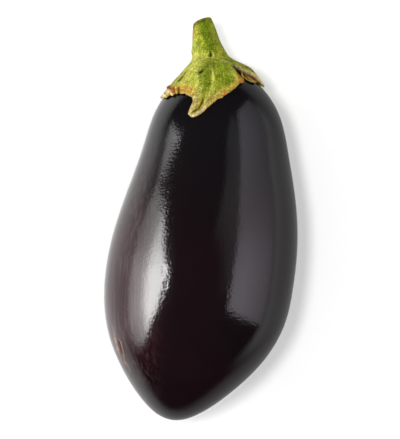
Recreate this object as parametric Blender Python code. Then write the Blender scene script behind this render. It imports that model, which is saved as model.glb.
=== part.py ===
# Globe eggplant lying on its side, as picked: the glossy fruit, and the green calyx
# that is grown in one with its cut stem.
# Metres, +Z up, +Y along the fruit towards the stem. The origin is the centre of the
# small flat spot that the fruit rests on, straight below its weight.

import math

import bmesh
import bpy
import numpy as np
from mathutils import Matrix, Vector

MM = 0.001

# The fruit. It is a ball drawn out along Y, whose radius swells and narrows on the way.
FRUIT_MIDDLE = 4 * MM  # half way between the blossom end and the crown, along Y
FRUIT_HALF_LENGTH = 90 * MM
FRUIT_ROUNDNESS = 0.96  # height over width, because a ripe fruit sags a little
FRUIT_FULLNESS = (  # (place from -1 at the blossom end to 1 at the crown, ball radius)
    (-1.00, 38.0 * MM),
    (-0.80, 45.6 * MM),
    (-0.56, 50.4 * MM),
    (-0.27, 49.2 * MM),
    (0.00, 46.8 * MM),
    (0.27, 43.7 * MM),
    (0.53, 42.5 * MM),
    (0.78, 44.4 * MM),
    (0.90, 42.0 * MM),
    (1.00, 37.0 * MM),
)
SPINE_SIDEWAYS = (  # (place along Y, how far the middle line lies towards +X)
    (-86 * MM, -14.0 * MM),
    (-60 * MM, -7.2 * MM),
    (-20 * MM, -2.7 * MM),
    (20 * MM, 2.3 * MM),
    (60 * MM, 6.1 * MM),
    (94 * MM, 6.2 * MM),
)
REST_DEPTH = 0.8 * MM  # how deep the flat spot cuts into the round underside
SPINE_SLOPE = -0.08  # the stem end lies lower, which brings the belly under the weight
FRUIT_COLUMNS = 56
FRUIT_RINGS = 40

# The calyx, a cap over the crown. Turns are degrees about the fruit's middle line, from
# the side that faces up towards +X. A point of its edge is (turn, place along Y).
CALYX_EDGE = (
    (-58, 74.8 * MM),
    (-51, 75.9 * MM),
    (-43, 76.3 * MM),  # notch between the left sepal and the upper one
    (-35, 75.5 * MM),
    (-27.5, 74.4 * MM),
    (-21.5, 73.0 * MM),
    (-19, 71.0 * MM),
    (-17.8, 68.0 * MM),
    (-16.6, 65.0 * MM),  # tip of the upper sepal, a narrow tongue
    (-12.5, 63.6 * MM),
    (-8.4, 64.6 * MM),
    (-4.5, 68.5 * MM),
    (0.5, 72.2 * MM),
    (5.5, 74.2 * MM),
    (10.5, 75.4 * MM),
    (21, 78.6 * MM),
    (29, 80.7 * MM),
    (36, 81.7 * MM),
    (39, 83.9 * MM),
    (42.4, 87.6 * MM),  # end of the narrow cleft before the right sepal
    (44.8, 84.2 * MM),
    (48, 82.4 * MM),
    (54, 82.0 * MM),
    (66, 82.4 * MM),
    (80, 82.0 * MM),
    (92, 80.4 * MM),  # tip of the right sepal
    (104, 81.6 * MM),
    (118, 84.4 * MM),
    (130, 80.0 * MM),
    (141, 73.2 * MM),
    (148, 67.6 * MM),  # tip of the first sepal underneath
    (154, 72.6 * MM),
    (166, 79.6 * MM),
    (180, 83.4 * MM),
    (193, 79.0 * MM),
    (203, 72.4 * MM),
    (209, 69.0 * MM),  # tip of the second sepal underneath
    (216, 74.0 * MM),
    (226, 79.4 * MM),
    (238, 82.4 * MM),
    (250, 79.0 * MM),
    (259, 76.4 * MM),
    (267, 75.1 * MM),  # tip of the left sepal
    (280, 75.2 * MM),
    (291, 74.8 * MM),
)
SEPALS = (  # (turn of its middle ridge, how far its tip stands off the skin)
    (-14, 1.2 * MM),
    (92, 0.0 * MM),
    (149, 1.0 * MM),
    (208, 1.2 * MM),
    (268, 0.0 * MM),
)
TIP_WIDTH = 13  # degrees over which a tip's lift fades out
TIP_LIFT_START = 0.55  # share of the way from the neck to the edge where the lift begins
EDGE_LIFT = 0.15 * MM
TONGUE_LEAN = 8  # degrees by which the tongue leans to the left at its tip
TONGUE_LEAN_TURN = -15
TONGUE_LEAN_WIDTH = 14
TONGUE_LEAN_POLAR = (35, 49)  # degrees from the crown where the lean starts and is whole
NECK_POLAR = 11.5  # degrees from the crown at which the cap turns into the stem
OWN_SHARE = 0.25  # how far a column of the cap keeps to its edge point's own turn at the neck
CALYX_GAP = 0.35 * MM  # between the cap and the skin
EDGE_THICKNESS = 0.8 * MM
NECK_THICKENING = 0.27  # gain in thickness for each millimetre nearer the middle line
THICKENING_RADIUS = 24 * MM  # the cap has its edge thickness outside this radius
RIDGE_HEIGHT = 0.7 * MM
RIDGE_WIDTH = 11  # degrees
RIDGE_START = 6 * MM  # below the crown's middle, where a ridge has its full height
CLEFT_LEDGE = 1.3 * MM  # the torn flesh beside the cleft lies this much lower
CLEFT_LEDGE_TURNS = (41.5, 84)
CLEFT_LEDGE_POLAR = (17.8, 27.6)  # its upper border, at those two turns
CLEFT_LEDGE_STEP = 2.4  # degrees over which it drops
CLEFT_LEDGE_FADE = 16  # degrees over which it runs out to the right
LEAST_THICKNESS = 0.7 * MM

# The stem, from the cap to the cut. An end is (place along X, place along Y, height over
# the fruit's middle line drawn on to there).
STEM_FOOT = (1.9 * MM, 98.4 * MM, 0.6 * MM)
STEM_END = (-0.9 * MM, 114.4 * MM, -0.8 * MM)
STEM_RADIUS = (  # (share of the way to the cut, radius)
    (0.0, 8.4 * MM),
    (0.3, 6.9 * MM),
    (0.7, 5.8 * MM),
    (1.0, 4.7 * MM),
)
STEM_RIBS = 0.03  # height of the five soft ribs over the stem's radius
STEM_RIB_WIDTH = 20  # degrees
NECK_DRAW = 0.75  # how far the cap's neck is drawn in under the stem's foot
NECK_DRAW_SPAN = (90 * MM, 98 * MM)  # along Y, where that begins and is whole
CUT_NORMAL = Vector((-0.36, 0.95, -0.22)).normalized()
CUT_TURN_START = 0.2  # share of the way up where the rings begin to turn to the slanting cut
CUT_BEVEL = 0.4 * MM
CUT_INNER_RING = 0.5  # radius of the ring within the cut's face, as a share of the stem's

CALYX_COLUMNS = 96
STEM_RINGS = 6
CAP_RINGS = 10
EDGE_FINENESS = 12  # steps of the edge's curve between two of its points

FRUIT_COLOUR = (0.012, 0.006, 0.010, 1.0)
CALYX_COLOUR = (0.30, 0.36, 0.06, 1.0)
FRUIT_GLOSS = 0.2  # roughness of the waxy skin
CALYX_MATT = 0.6


def spline_through(stations):
    """A natural cubic spline through (place, value) stations, as a function of the place."""
    place = np.array([s[0] for s in stations])
    value = np.array([s[1] for s in stations])
    gap = np.diff(place)
    rise = np.diff(value) / gap
    count = len(place)
    system = np.eye(count)
    target = np.zeros(count)
    for i in range(1, count - 1):
        system[i, i - 1 : i + 2] = gap[i - 1], 2 * (gap[i - 1] + gap[i]), gap[i]
        target[i] = 6 * (rise[i] - rise[i - 1])
    bend = np.linalg.solve(system, target)

    def at(x):
        i = int(np.clip(np.searchsorted(place, x) - 1, 0, count - 2))
        before, after = x - place[i], place[i + 1] - x
        return float(
            (bend[i] * after**3 + bend[i + 1] * before**3) / (6 * gap[i])
            + (value[i] / gap[i] - bend[i] * gap[i] / 6) * after
            + (value[i + 1] / gap[i] - bend[i + 1] * gap[i] / 6) * before
        )

    return at


fullness = spline_through(FRUIT_FULLNESS)
sideways = spline_through(SPINE_SIDEWAYS)
stem_radius = spline_through(STEM_RADIUS)


def smooth_step(low, high, x):
    share = min(max((x - low) / (high - low), 0.0), 1.0)
    return share * share * (3 - 2 * share)


def turn_between(a, b):
    """The smaller angle between two turns, in degrees."""
    return abs((a - b + 180) % 360 - 180)


def hump(turn, middle, width):
    """A bell curve of height 1 about a turn."""
    return math.exp(-((turn_between(turn, middle) / width) ** 2))


def spine_height(y):
    belly = fullness(-FRUIT_MIDDLE / FRUIT_HALF_LENGTH) * FRUIT_ROUNDNESS
    return belly - REST_DEPTH + SPINE_SLOPE * y


def skin(x, y, z):
    """The place on the fruit's skin of the point (x, y, z) of a unit ball."""
    along = FRUIT_MIDDLE + FRUIT_HALF_LENGTH * y
    full = fullness(y)
    return Vector(
        (sideways(along) + full * x, along, spine_height(along) + full * FRUIT_ROUNDNESS * z)
    )


def skin_at(polar, turn):
    """The skin at an angle from the crown and a turn about the middle line, in degrees."""
    polar, turn = math.radians(polar), math.radians(turn)
    side = math.sin(polar)
    return skin(side * math.sin(turn), math.cos(polar), side * math.cos(turn))


def skin_normal(polar, turn):
    step = 0.5
    polar = max(polar, step)
    outward = skin_at(polar + step, turn) - skin_at(polar - step, turn)
    across = skin_at(polar, turn + step) - skin_at(polar, turn - step)
    return across.cross(outward).normalized() * -1


def polar_of(y):
    return math.degrees(math.acos((y - FRUIT_MIDDLE) / FRUIT_HALF_LENGTH))


def unit_ball(columns, rings):
    """A ball primitive with its poles on the Y axis."""
    mesh = bmesh.new()
    bmesh.ops.create_uvsphere(mesh, u_segments=columns, v_segments=rings, radius=1)
    poles_to_y = Matrix.Rotation(math.radians(-90), 4, "X")
    bmesh.ops.transform(mesh, matrix=poles_to_y, verts=mesh.verts)
    return mesh


def cut_rest_spot(mesh):
    """Slices the underside off level at z = 0, and closes it with one flat face."""
    everything = mesh.verts[:] + mesh.edges[:] + mesh.faces[:]
    bmesh.ops.bisect_plane(
        mesh, geom=everything, plane_co=(0, 0, 0), plane_no=(0, 0, -1), clear_outer=True
    )
    rim = [edge for edge in mesh.edges if edge.is_boundary]
    bmesh.ops.holes_fill(mesh, edges=rim, sides=0)


def curve_between(before, start, end, after, t):
    """A smooth curve from start to end that heeds the points on either side of them."""
    return 0.5 * (
        2 * start
        + (end - before) * t
        + (2 * before - 5 * start + 4 * end - after) * t * t
        + (3 * start - before - 3 * end + after) * t**3
    )


def edge_curve(count):
    """Points of the calyx edge, evenly spaced along it, as (turn, polar angle)."""
    keys = [np.array((turn, polar_of(y))) for turn, y in CALYX_EDGE]
    full_turn = np.array((360, 0))
    ring = [keys[-1] - full_turn, *keys, keys[0] + full_turn, keys[1] + full_turn]
    fine = []
    for corners in zip(ring, ring[1:], ring[2:], ring[3:]):
        for step in range(EDGE_FINENESS):
            fine.append(curve_between(*corners, step / EDGE_FINENESS))
    fine.append(keys[0] + full_turn)
    places = [cap_skin(polar, turn) for turn, polar in fine]
    run = [0.0]
    for one, other in zip(places, places[1:]):
        run.append(run[-1] + (other - one).length)
    wanted = [run[-1] * i / count for i in range(count)]
    turns = np.interp(wanted, run, [point[0] for point in fine])
    polars = np.interp(wanted, run, [point[1] for point in fine])
    return list(zip(turns, polars))


def neck_turns(edge):
    """Where each column of the cap leaves the neck: an even spread, drawn a little to its edge."""
    count = len(edge)
    own = [turn for turn, _ in edge]
    first = sum(turn - 360 * i / count for i, turn in enumerate(own)) / count
    even = [first + 360 * i / count for i in range(count)]
    return [OWN_SHARE * a + (1 - OWN_SHARE) * b for a, b in zip(own, even)]


def leaned(polar, turn):
    """The turn of a point of the cap once the tongue leans over to the left."""
    lean = TONGUE_LEAN * hump(turn, TONGUE_LEAN_TURN, TONGUE_LEAN_WIDTH)
    return turn - lean * smooth_step(*TONGUE_LEAN_POLAR, polar)


def cap_skin(polar, turn):
    return skin_at(polar, leaned(polar, turn))


def cap_thickness(polar, turn, share):
    """Thickness of the cap, where share runs from 0 at the neck to 1 at the edge."""
    place = skin_at(polar, turn)
    crown = skin_at(0, 0)
    radius = math.hypot(place.x - sideways(place.y), place.z - spine_height(place.y))
    thick = EDGE_THICKNESS + NECK_THICKENING * max(THICKENING_RADIUS - radius, 0)
    ridge = RIDGE_HEIGHT * max(hump(turn, middle, RIDGE_WIDTH) for middle, _ in SEPALS)
    thick += ridge * smooth_step(crown.y, crown.y - RIDGE_START, place.y) * (1 - share)
    return max(thick - ledge_depth(polar, turn), LEAST_THICKNESS)


def ledge_depth(polar, turn):
    """How much lower the torn flesh beside the cleft lies."""
    first, last = CLEFT_LEDGE_TURNS
    if not first < turn < last:
        return 0.0
    top, bottom = CLEFT_LEDGE_POLAR
    border = top + (bottom - top) * (turn - first) / (last - first)
    fade = 1 - smooth_step(last - CLEFT_LEDGE_FADE, last, turn)
    return CLEFT_LEDGE * smooth_step(border, border + CLEFT_LEDGE_STEP, polar) * fade


def tip_lift(turn, share):
    """How far the cap rises off the skin towards its edge, most of all at the tips."""
    lift = EDGE_LIFT + sum(height * hump(turn, tip, TIP_WIDTH) for tip, height in SEPALS)
    return lift * smooth_step(TIP_LIFT_START, 1.0, share)


def cap_point(polar, turn, share, outer):
    """A point of the cap's upper or under side."""
    height = CALYX_GAP + tip_lift(turn, share)
    if outer:
        height += cap_thickness(polar, turn, share)
    here = leaned(polar, turn)
    return skin_at(polar, here) + skin_normal(polar, here) * height


def stem_ends():
    """The middles of the stem's foot and of its cut."""
    return [Vector((x, y, spine_height(y) + rise)) for x, y, rise in (STEM_FOOT, STEM_END)]


def stem_point(share, turn, radius_share=1.0):
    """A point of the stem, at a share of the way from its foot to the cut."""
    start, end = stem_ends()
    axis = (end - start).normalized()
    facing = axis.lerp(CUT_NORMAL, smooth_step(CUT_TURN_START, 1.0, share)).normalized()
    side = (Vector((1, 0, 0)) - facing * facing.x).normalized()
    up = side.cross(facing)
    ribs = sum(hump(turn, middle, STEM_RIB_WIDTH) for middle, _ in SEPALS)
    radius = stem_radius(share) * (1 + STEM_RIBS * ribs) * radius_share
    angle = math.radians(turn)
    centre = start.lerp(end, share)
    return centre + (side * math.sin(angle) + up * math.cos(angle)) * radius


def drawn_in(point, turn):
    """Draws the neck of the cap in under the stem's foot, which stands off the crown's middle."""
    foot = stem_point(0, turn)
    near = smooth_step(*NECK_DRAW_SPAN, point.y)
    return point.lerp(Vector((foot.x, point.y, foot.z)), NECK_DRAW * near)


def stem_rings(necks):
    """Rings from the middle of the cut, over its worn rim and down the stem."""
    rim_share = 1 - CUT_BEVEL / stem_radius(1.0)
    inner = (CUT_INNER_RING, rim_share)
    rings = [[stem_point(1.0, turn, share) for turn in necks] for share in inner]
    start, end = stem_ends()
    rim = 1 - CUT_BEVEL / (end - start).length
    for i in range(STEM_RINGS):
        rings.append([stem_point(rim * (1 - i / STEM_RINGS), turn) for turn in necks])
    return rings


def cap_ring(columns, share, outer):
    """One ring of the cap's upper or under side, at a share of the way from its neck to its edge."""
    ring = []
    for neck, (turn, polar) in columns:
        here = neck + (turn - neck) * share
        point = cap_point(NECK_POLAR + (polar - NECK_POLAR) * share, here, share, outer)
        ring.append(drawn_in(point, here) if outer else point)
    return ring


def calyx_rings():
    """Rings from the middle of the cut, down the stem, over the cap and back under it."""
    edge = edge_curve(CALYX_COLUMNS)
    necks = neck_turns(edge)
    columns = list(zip(necks, edge))
    shares = [i / CAP_RINGS for i in range(CAP_RINGS + 1)]
    over = [cap_ring(columns, share, True) for share in shares]
    under = [cap_ring(columns, share, False) for share in reversed(shares)]
    middle = [cap_point(NECK_POLAR / 2, neck, 0.0, False) for neck in necks]
    return stem_rings(necks) + over + under + [middle]


def body_from(mesh, name, colour, roughness):
    """Makes a named object with its own material out of a finished bmesh."""
    data = bpy.data.meshes.new(name)
    mesh.to_mesh(data)
    mesh.free()
    data.shade_smooth()
    material = bpy.data.materials.new(name)
    material.use_nodes = True
    surface = material.node_tree.nodes["Principled BSDF"]
    surface.inputs["Base Color"].default_value = colour
    surface.inputs["Roughness"].default_value = roughness
    surface.inputs["Metallic"].default_value = 0.0
    data.materials.append(material)
    return bpy.data.objects.new(name, data)


def make_fruit():
    mesh = unit_ball(FRUIT_COLUMNS, FRUIT_RINGS)
    for vertex in mesh.verts:
        vertex.co = skin(*vertex.co)
    cut_rest_spot(mesh)
    return body_from(mesh, "fruit", FRUIT_COLOUR, FRUIT_GLOSS)


def make_calyx():
    """The cap and the stem are one skin, so they start as one ball whose rings are laid in order."""
    rings = calyx_rings()
    bands = len(rings) + 1
    mesh = unit_ball(CALYX_COLUMNS, bands)
    for vertex in mesh.verts:
        ring = round(math.acos(max(-1, min(1, vertex.co.y))) / math.pi * bands)
        if ring == 0:
            vertex.co = stem_point(1.0, 0, 0)
        elif ring == bands:
            vertex.co = cap_point(0, 0, 0, False)
        else:
            around = math.atan2(vertex.co.x, vertex.co.z) / (2 * math.pi)
            vertex.co = rings[ring - 1][round(around * CALYX_COLUMNS) % CALYX_COLUMNS]
    return body_from(mesh, "calyx_and_stem", CALYX_COLOUR, CALYX_MATT)


def main():
    for old in list(bpy.data.objects):
        bpy.data.objects.remove(old)
    eggplant = bpy.data.collections.new("eggplant")
    bpy.context.scene.collection.children.link(eggplant)
    for part in (make_fruit(), make_calyx()):
        eggplant.objects.link(part)


main()
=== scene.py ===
import math

import bmesh
import bpy
import numpy as np
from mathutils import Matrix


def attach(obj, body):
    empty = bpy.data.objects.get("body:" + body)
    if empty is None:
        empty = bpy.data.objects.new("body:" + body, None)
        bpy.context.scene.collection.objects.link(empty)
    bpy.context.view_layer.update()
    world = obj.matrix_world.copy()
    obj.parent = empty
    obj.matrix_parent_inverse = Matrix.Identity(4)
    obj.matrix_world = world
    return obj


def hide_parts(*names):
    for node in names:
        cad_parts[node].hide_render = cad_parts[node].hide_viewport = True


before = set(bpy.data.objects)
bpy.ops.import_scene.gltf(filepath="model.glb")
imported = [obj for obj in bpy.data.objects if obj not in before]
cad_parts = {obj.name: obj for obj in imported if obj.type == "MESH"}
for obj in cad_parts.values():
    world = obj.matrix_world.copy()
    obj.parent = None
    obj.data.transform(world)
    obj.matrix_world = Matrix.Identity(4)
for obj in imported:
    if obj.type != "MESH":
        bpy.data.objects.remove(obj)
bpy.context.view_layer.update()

# A globe eggplant on its side, seen from straight above on a white studio floor.
# Lengths in the dictionaries are millimetres, unless a note says metres. Turns are degrees
# about the fruit's middle line, from the side that faces up towards +X, and polar angles are
# degrees from the crown, where the stem is.

mm = 0.001


# Helpers for colours, shader nodes, selecting and shapes.

def linearColour(code):
    # an sRGB hex code as the linear colour that the shaders take
    parts = [int(code[i:i + 2], 16) / 255 for i in (1, 3, 5)]
    linear = [c / 12.92 if c <= 0.04045 else ((c + 0.055) / 1.055) ** 2.4 for c in parts]
    return (*linear, 1.0)


def addNode(tree, kind, settings=None, inputs=None, stops=None):
    # a shader node with its settings, and each input set or linked
    node = tree.nodes.new("ShaderNode" + kind)
    for name, value in (settings or {}).items():
        setattr(node, name, value)
    for name, value in (inputs or {}).items():
        if isinstance(value, bpy.types.NodeSocket):
            tree.links.new(value, node.inputs[name])
        else:
            node.inputs[name].default_value = value
    for i, (place, colour) in enumerate(stops or []):
        ramp = node.color_ramp.elements
        stop = ramp[i] if i < 2 else ramp.new(place)
        stop.position = place
        stop.color = colour
    return node


def grey(value):
    return (value, value, value, 1.0)


def startMaterial(name):
    material = bpy.data.materials.new(name)
    material.use_nodes = True
    material.node_tree.nodes.clear()
    return material, material.node_tree


def deselectAll():
    bpy.ops.object.select_all(action="DESELECT")


def selectPoints(piece, wanted):
    # picks the points of the piece in edit mode by their place
    sheet = bmesh.from_edit_mesh(piece.data)
    for point in sheet.verts:
        point.select = bool(wanted(point.co))
    sheet.select_flush_mode()
    bmesh.update_edit_mesh(piece.data)


def applyModifier(piece, kind, **settings):
    modifier = piece.modifiers.new(kind.lower(), kind)
    for name, value in settings.items():
        setattr(modifier, name, value)
    bpy.context.view_layer.objects.active = piece
    bpy.ops.object.modifier_apply(modifier=modifier.name)


def cloudTexture(name, size, depth):
    texture = bpy.data.textures.new(name, "CLOUDS")
    texture.noise_scale = size * mm
    texture.noise_depth = depth
    return texture


def splineThrough(stations):
    # a natural cubic spline through (place, value) stations
    place, value = np.array(stations, float).T
    gap = np.diff(place)
    rise = np.diff(value) / gap
    count = len(place)
    system = np.eye(count)
    target = np.zeros(count)
    for i in range(1, count - 1):
        system[i, i - 1:i + 2] = gap[i - 1], 2 * (gap[i - 1] + gap[i]), gap[i]
        target[i] = 6 * (rise[i] - rise[i - 1])
    bend = np.linalg.solve(system, target)

    def at(x):
        i = np.clip(np.searchsorted(place, x) - 1, 0, count - 2)
        before = x - place[i]
        after = place[i + 1] - x
        return ((bend[i] * after**3 + bend[i + 1] * before**3) / (6 * gap[i])
                + (value[i] / gap[i] - bend[i] * gap[i] / 6) * after
                + (value[i + 1] / gap[i] - bend[i + 1] * gap[i] / 6) * before)

    return at


def smoothStep(low, high, x):
    share = np.clip((x - low) / (high - low), 0, 1)
    return share * share * (3 - 2 * share)


def hump(turn, middle, width):
    # a bell curve of height 1 about a turn
    away = np.abs((turn - middle + 180) % 360 - 180)
    return np.exp(-((away / width) ** 2))


def readPoints(piece):
    # every point's place in millimetres, and its normal
    count = len(piece.data.vertices)
    places = np.empty(count * 3, np.float32)
    normals = np.empty(count * 3, np.float32)
    piece.data.vertices.foreach_get("co", places)
    piece.data.vertices.foreach_get("normal", normals)
    return places.reshape(-1, 3).astype(float) / mm, normals.reshape(-1, 3).astype(float)


def writePoints(piece, places):
    piece.data.vertices.foreach_set("co", (places * mm).astype(np.float32).ravel())
    piece.data.update()


def readLayer(piece, name):
    values = np.empty(len(piece.data.vertices), np.float32)
    piece.data.attributes[name].data.foreach_get("value", values)
    return values.astype(float)


def writeLayer(piece, name, kind, field, values):
    layer = piece.data.attributes.new(name, kind, "POINT")
    layer.data.foreach_set(field, np.asarray(values, np.float32).ravel())


def nearness(places, route, width):
    # 1 on a route of straight steps, and fading smoothly to 0 beside it
    route = np.array(route if len(route) > 1 else route * 2, float)
    nearest = np.full(len(places), np.inf)
    for start, end in zip(route, route[1:]):
        step = end - start
        share = np.clip((places - start) @ step / max(step @ step, 1e-9), 0, 1)
        away = np.linalg.norm(places - start - share[:, None] * step, axis=1)
        nearest = np.minimum(nearest, away)
    return np.exp(-((nearest / width) ** 2))


def handIn(piece, node):
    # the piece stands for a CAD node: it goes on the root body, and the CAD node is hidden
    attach(piece, "root")
    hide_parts(node)


# The fruit: a ball drawn out along Y, swelling towards the blossom end.

fruit = {
    "middle": 4,
    "halfLength": 90,
    "roundness": 0.96,  # height over width
    "fullness": [(-1, 38.0), (-0.8, 45.6), (-0.56, 50.4), (-0.27, 49.2), (0, 46.8),
                 (0.27, 43.7), (0.53, 42.5), (0.78, 44.4), (0.9, 42.0), (1, 37.0)],
    "sideways": [(-86, -14.0), (-60, -7.2), (-20, -2.7), (20, 2.3), (60, 6.1), (94, 6.2)],
    "restDepth": 0.8,  # how far the weight has flattened the underside
    "slope": -0.08,  # rise of the middle line towards the stem, per millimetre
    "columns": 72,
    "rings": 60,
    "waveSize": 42,  # the skin isn't a perfect curve, which makes the highlights wander
    "waveHeight": 0.4,
    "dimpleSize": 6,
    "dimpleHeight": 0.035,
}

fullness = splineThrough(fruit["fullness"])
sideways = splineThrough(fruit["sideways"])
belly = float(fullness(-fruit["middle"] / fruit["halfLength"])) * fruit["roundness"]


def spineHeight(along):
    return belly - fruit["restDepth"] + fruit["slope"] * along


def skinAt(polar, turn):
    # places on the skin, for arrays of polar angles and turns
    polar, turn = np.radians(polar), np.radians(turn)
    share = np.cos(polar)
    along = fruit["middle"] + fruit["halfLength"] * share
    out = fullness(share) * np.sin(polar)
    x = sideways(along) + out * np.sin(turn)
    z = spineHeight(along) + out * np.cos(turn) * fruit["roundness"]
    return np.stack([x, along, z], -1)


def skinNormal(polar, turn):
    step = 0.5
    polar = np.maximum(polar, step)
    down = skinAt(polar + step, turn) - skinAt(polar - step, turn)
    across = skinAt(polar, turn + step) - skinAt(polar, turn - step)
    normal = np.cross(down, across)
    return normal / np.linalg.norm(normal, axis=-1, keepdims=True)


def shapeBall(piece):
    # every ring of the ball takes its own width and place
    bpy.ops.object.mode_set(mode="EDIT")
    bpy.ops.mesh.select_all(action="SELECT")
    half = fruit["halfLength"]
    onRing = 0.01
    bpy.ops.transform.resize(value=(1, half, 1), center_override=(0, 0, 0))
    for ring in range(fruit["rings"] + 1):
        share = math.cos(math.pi * ring / fruit["rings"])
        along = fruit["middle"] + half * share
        full = float(fullness(share))
        selectPoints(piece, lambda co: abs(co.y - half * share) < onRing)
        bpy.ops.transform.resize(
            value=(full, 1, full * fruit["roundness"]), center_override=(0, half * share, 0))
        bpy.ops.transform.translate(
            value=(float(sideways(along)), 0, float(spineHeight(along))))
    bpy.ops.mesh.select_all(action="SELECT")
    bpy.ops.transform.translate(value=(0, fruit["middle"], 0))
    bpy.ops.transform.resize(value=(mm, mm, mm), center_override=(0, 0, 0))
    bpy.ops.object.mode_set(mode="OBJECT")


def pressFlat(piece):
    # the weight of the fruit rests on a small flat spot
    bpy.ops.object.mode_set(mode="EDIT")
    selectPoints(piece, lambda co: co.z < 0)
    bpy.ops.transform.resize(value=(1, 1, 0), center_override=(0, 0, 0))
    bpy.ops.object.mode_set(mode="OBJECT")


# Marks on the skin: the route as (polar, turn), the width, the lift, the layer that it paints
# and how strongly. Those of strength 0 are only small dents beside the highlight.
skinMarks = [
    ([(120, -69), (126, -68), (132, -66)], 3.0, -0.2, "scuff", 0.3),
    ([(123.2, -66.4), (123.6, -66.8)], 1.6, 0.3, "pink", 0.75),
    ([(126.6, -67.6), (127, -68)], 1.5, 0.3, "pink", 0.8),
    ([(124, -62.2), (126, -62.4), (128.4, -63)], 0.8, -0.9, "scar", 1.0),
    ([(123.8, -58.8), (126.4, -59), (128.8, -60.4), (132, -63)], 0.65, 0.35, "scuff", 0.9),
    ([(128.4, -68.2), (131.4, -68)], 0.8, 0.15, "scuff", 0.8),
    ([(128, -65.4), (131, -65.8)], 0.5, -0.3, "scar", 0.7),
    ([(132.5, -63), (136, -62)], 0.5, -0.1, "scuff", 0.3),
    ([(98.5, -22), (100, -22.5)], 0.65, -0.12, "scuff", 0.0),
    ([(103, -20), (104.5, -20)], 0.7, -0.13, "scuff", 0.0),
    ([(107, -22)], 0.7, -0.09, "scuff", 0.0),
    ([(176, 180), (178.5, 180)], 1.5, -0.5, "scar", 0.9),  # blossom end
    ([(174, 160), (174, 180), (174, 200)], 1.0, 0.3, "scuff", 0.8),
]


def markSkin(piece):
    places, normals = readPoints(piece)
    layers = {name: np.zeros(len(places)) for name in ("scar", "scuff", "pink")}
    moved = places.copy()
    for route, width, lift, layer, strength in skinMarks:
        polar, turn = np.array(route, float).T
        near = nearness(places, list(skinAt(polar, turn)), width)
        moved += normals * (near * lift)[:, None]
        layers[layer] = np.maximum(layers[layer], near * strength)
    writePoints(piece, moved)
    for name, values in layers.items():
        writeLayer(piece, name, "FLOAT", "value", values)


def makeFruit():
    deselectAll()
    bpy.ops.mesh.primitive_uv_sphere_add(
        segments=fruit["columns"], ring_count=fruit["rings"], radius=1,
        rotation=(math.radians(-90), 0, 0))
    piece = bpy.context.object
    piece.name = "glossyFruit"
    bpy.ops.object.transform_apply(location=True, rotation=True, scale=True)
    shapeBall(piece)
    applyModifier(piece, "SUBSURF", levels=2, render_levels=2)
    applyModifier(piece, "DISPLACE", texture=cloudTexture("broadWaves", fruit["waveSize"], 1),
                  texture_coords="LOCAL", strength=fruit["waveHeight"] * mm)
    applyModifier(piece, "DISPLACE", texture=cloudTexture("smallDimples", fruit["dimpleSize"], 0),
                  texture_coords="LOCAL", strength=fruit["dimpleHeight"] * mm)
    markSkin(piece)
    pressFlat(piece)
    bpy.ops.object.shade_smooth()
    print("fruit shaped:", len(piece.data.vertices), "points")
    return piece


# The skin is a cuticle of clear wax over cells full of dark purple pigment: nearly black, with a
# maroon flush painted on the left flank as painted light, where the lamps light it, and a tight
# reflection that the wax's orange peel and lengthwise growth lines break up a little.

skinFinish = {
    "dark": "#120c0e",
    "deep": "#180c11",
    "driftSize": 45,
    "driftRange": (0.38, 0.68),
    "crown": "#110f11",
    # painted light: the maroon flush on the lit left flank
    "litFlankMaroon": "#2f1317",
    "zones": [("crown", "Y", 5, 60), ("litLeftFlank", "X", -16, -44), ("lowEnd", "Y", 60, -5),
              ("tip", "Y", -78, -38)],  # (name, axis, where it starts, where it is full)
    # partly painted reflection: the mauve that tints the reflection on the lit left flank
    "bloomAndReflection": "#554145",
    "bloomWidth": 1.5,
    "bloomLength": 30,
    "bloomRange": (0.46, 0.72),
    "bloomCover": 0.75,
    "scuff": "#8a7058",
    "pink": "#a87670",
    "scar": "#1c0f0b",
    "marks": [("scuff", 0.35), ("pink", 0.0), ("scar", 0.6)],  # (layer, how much it roughens)
    "roughness": 0.105,
    "roughnessDrift": 0.08,
    "ior": 1.5,
    "peelSize": 1.15,
    "peelHeight": 0.058,
    "streakWidth": 1.2,
    "streakLength": 16,
    "streakShare": 0.4,  # height of the growth lines over that of the peel
}


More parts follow.
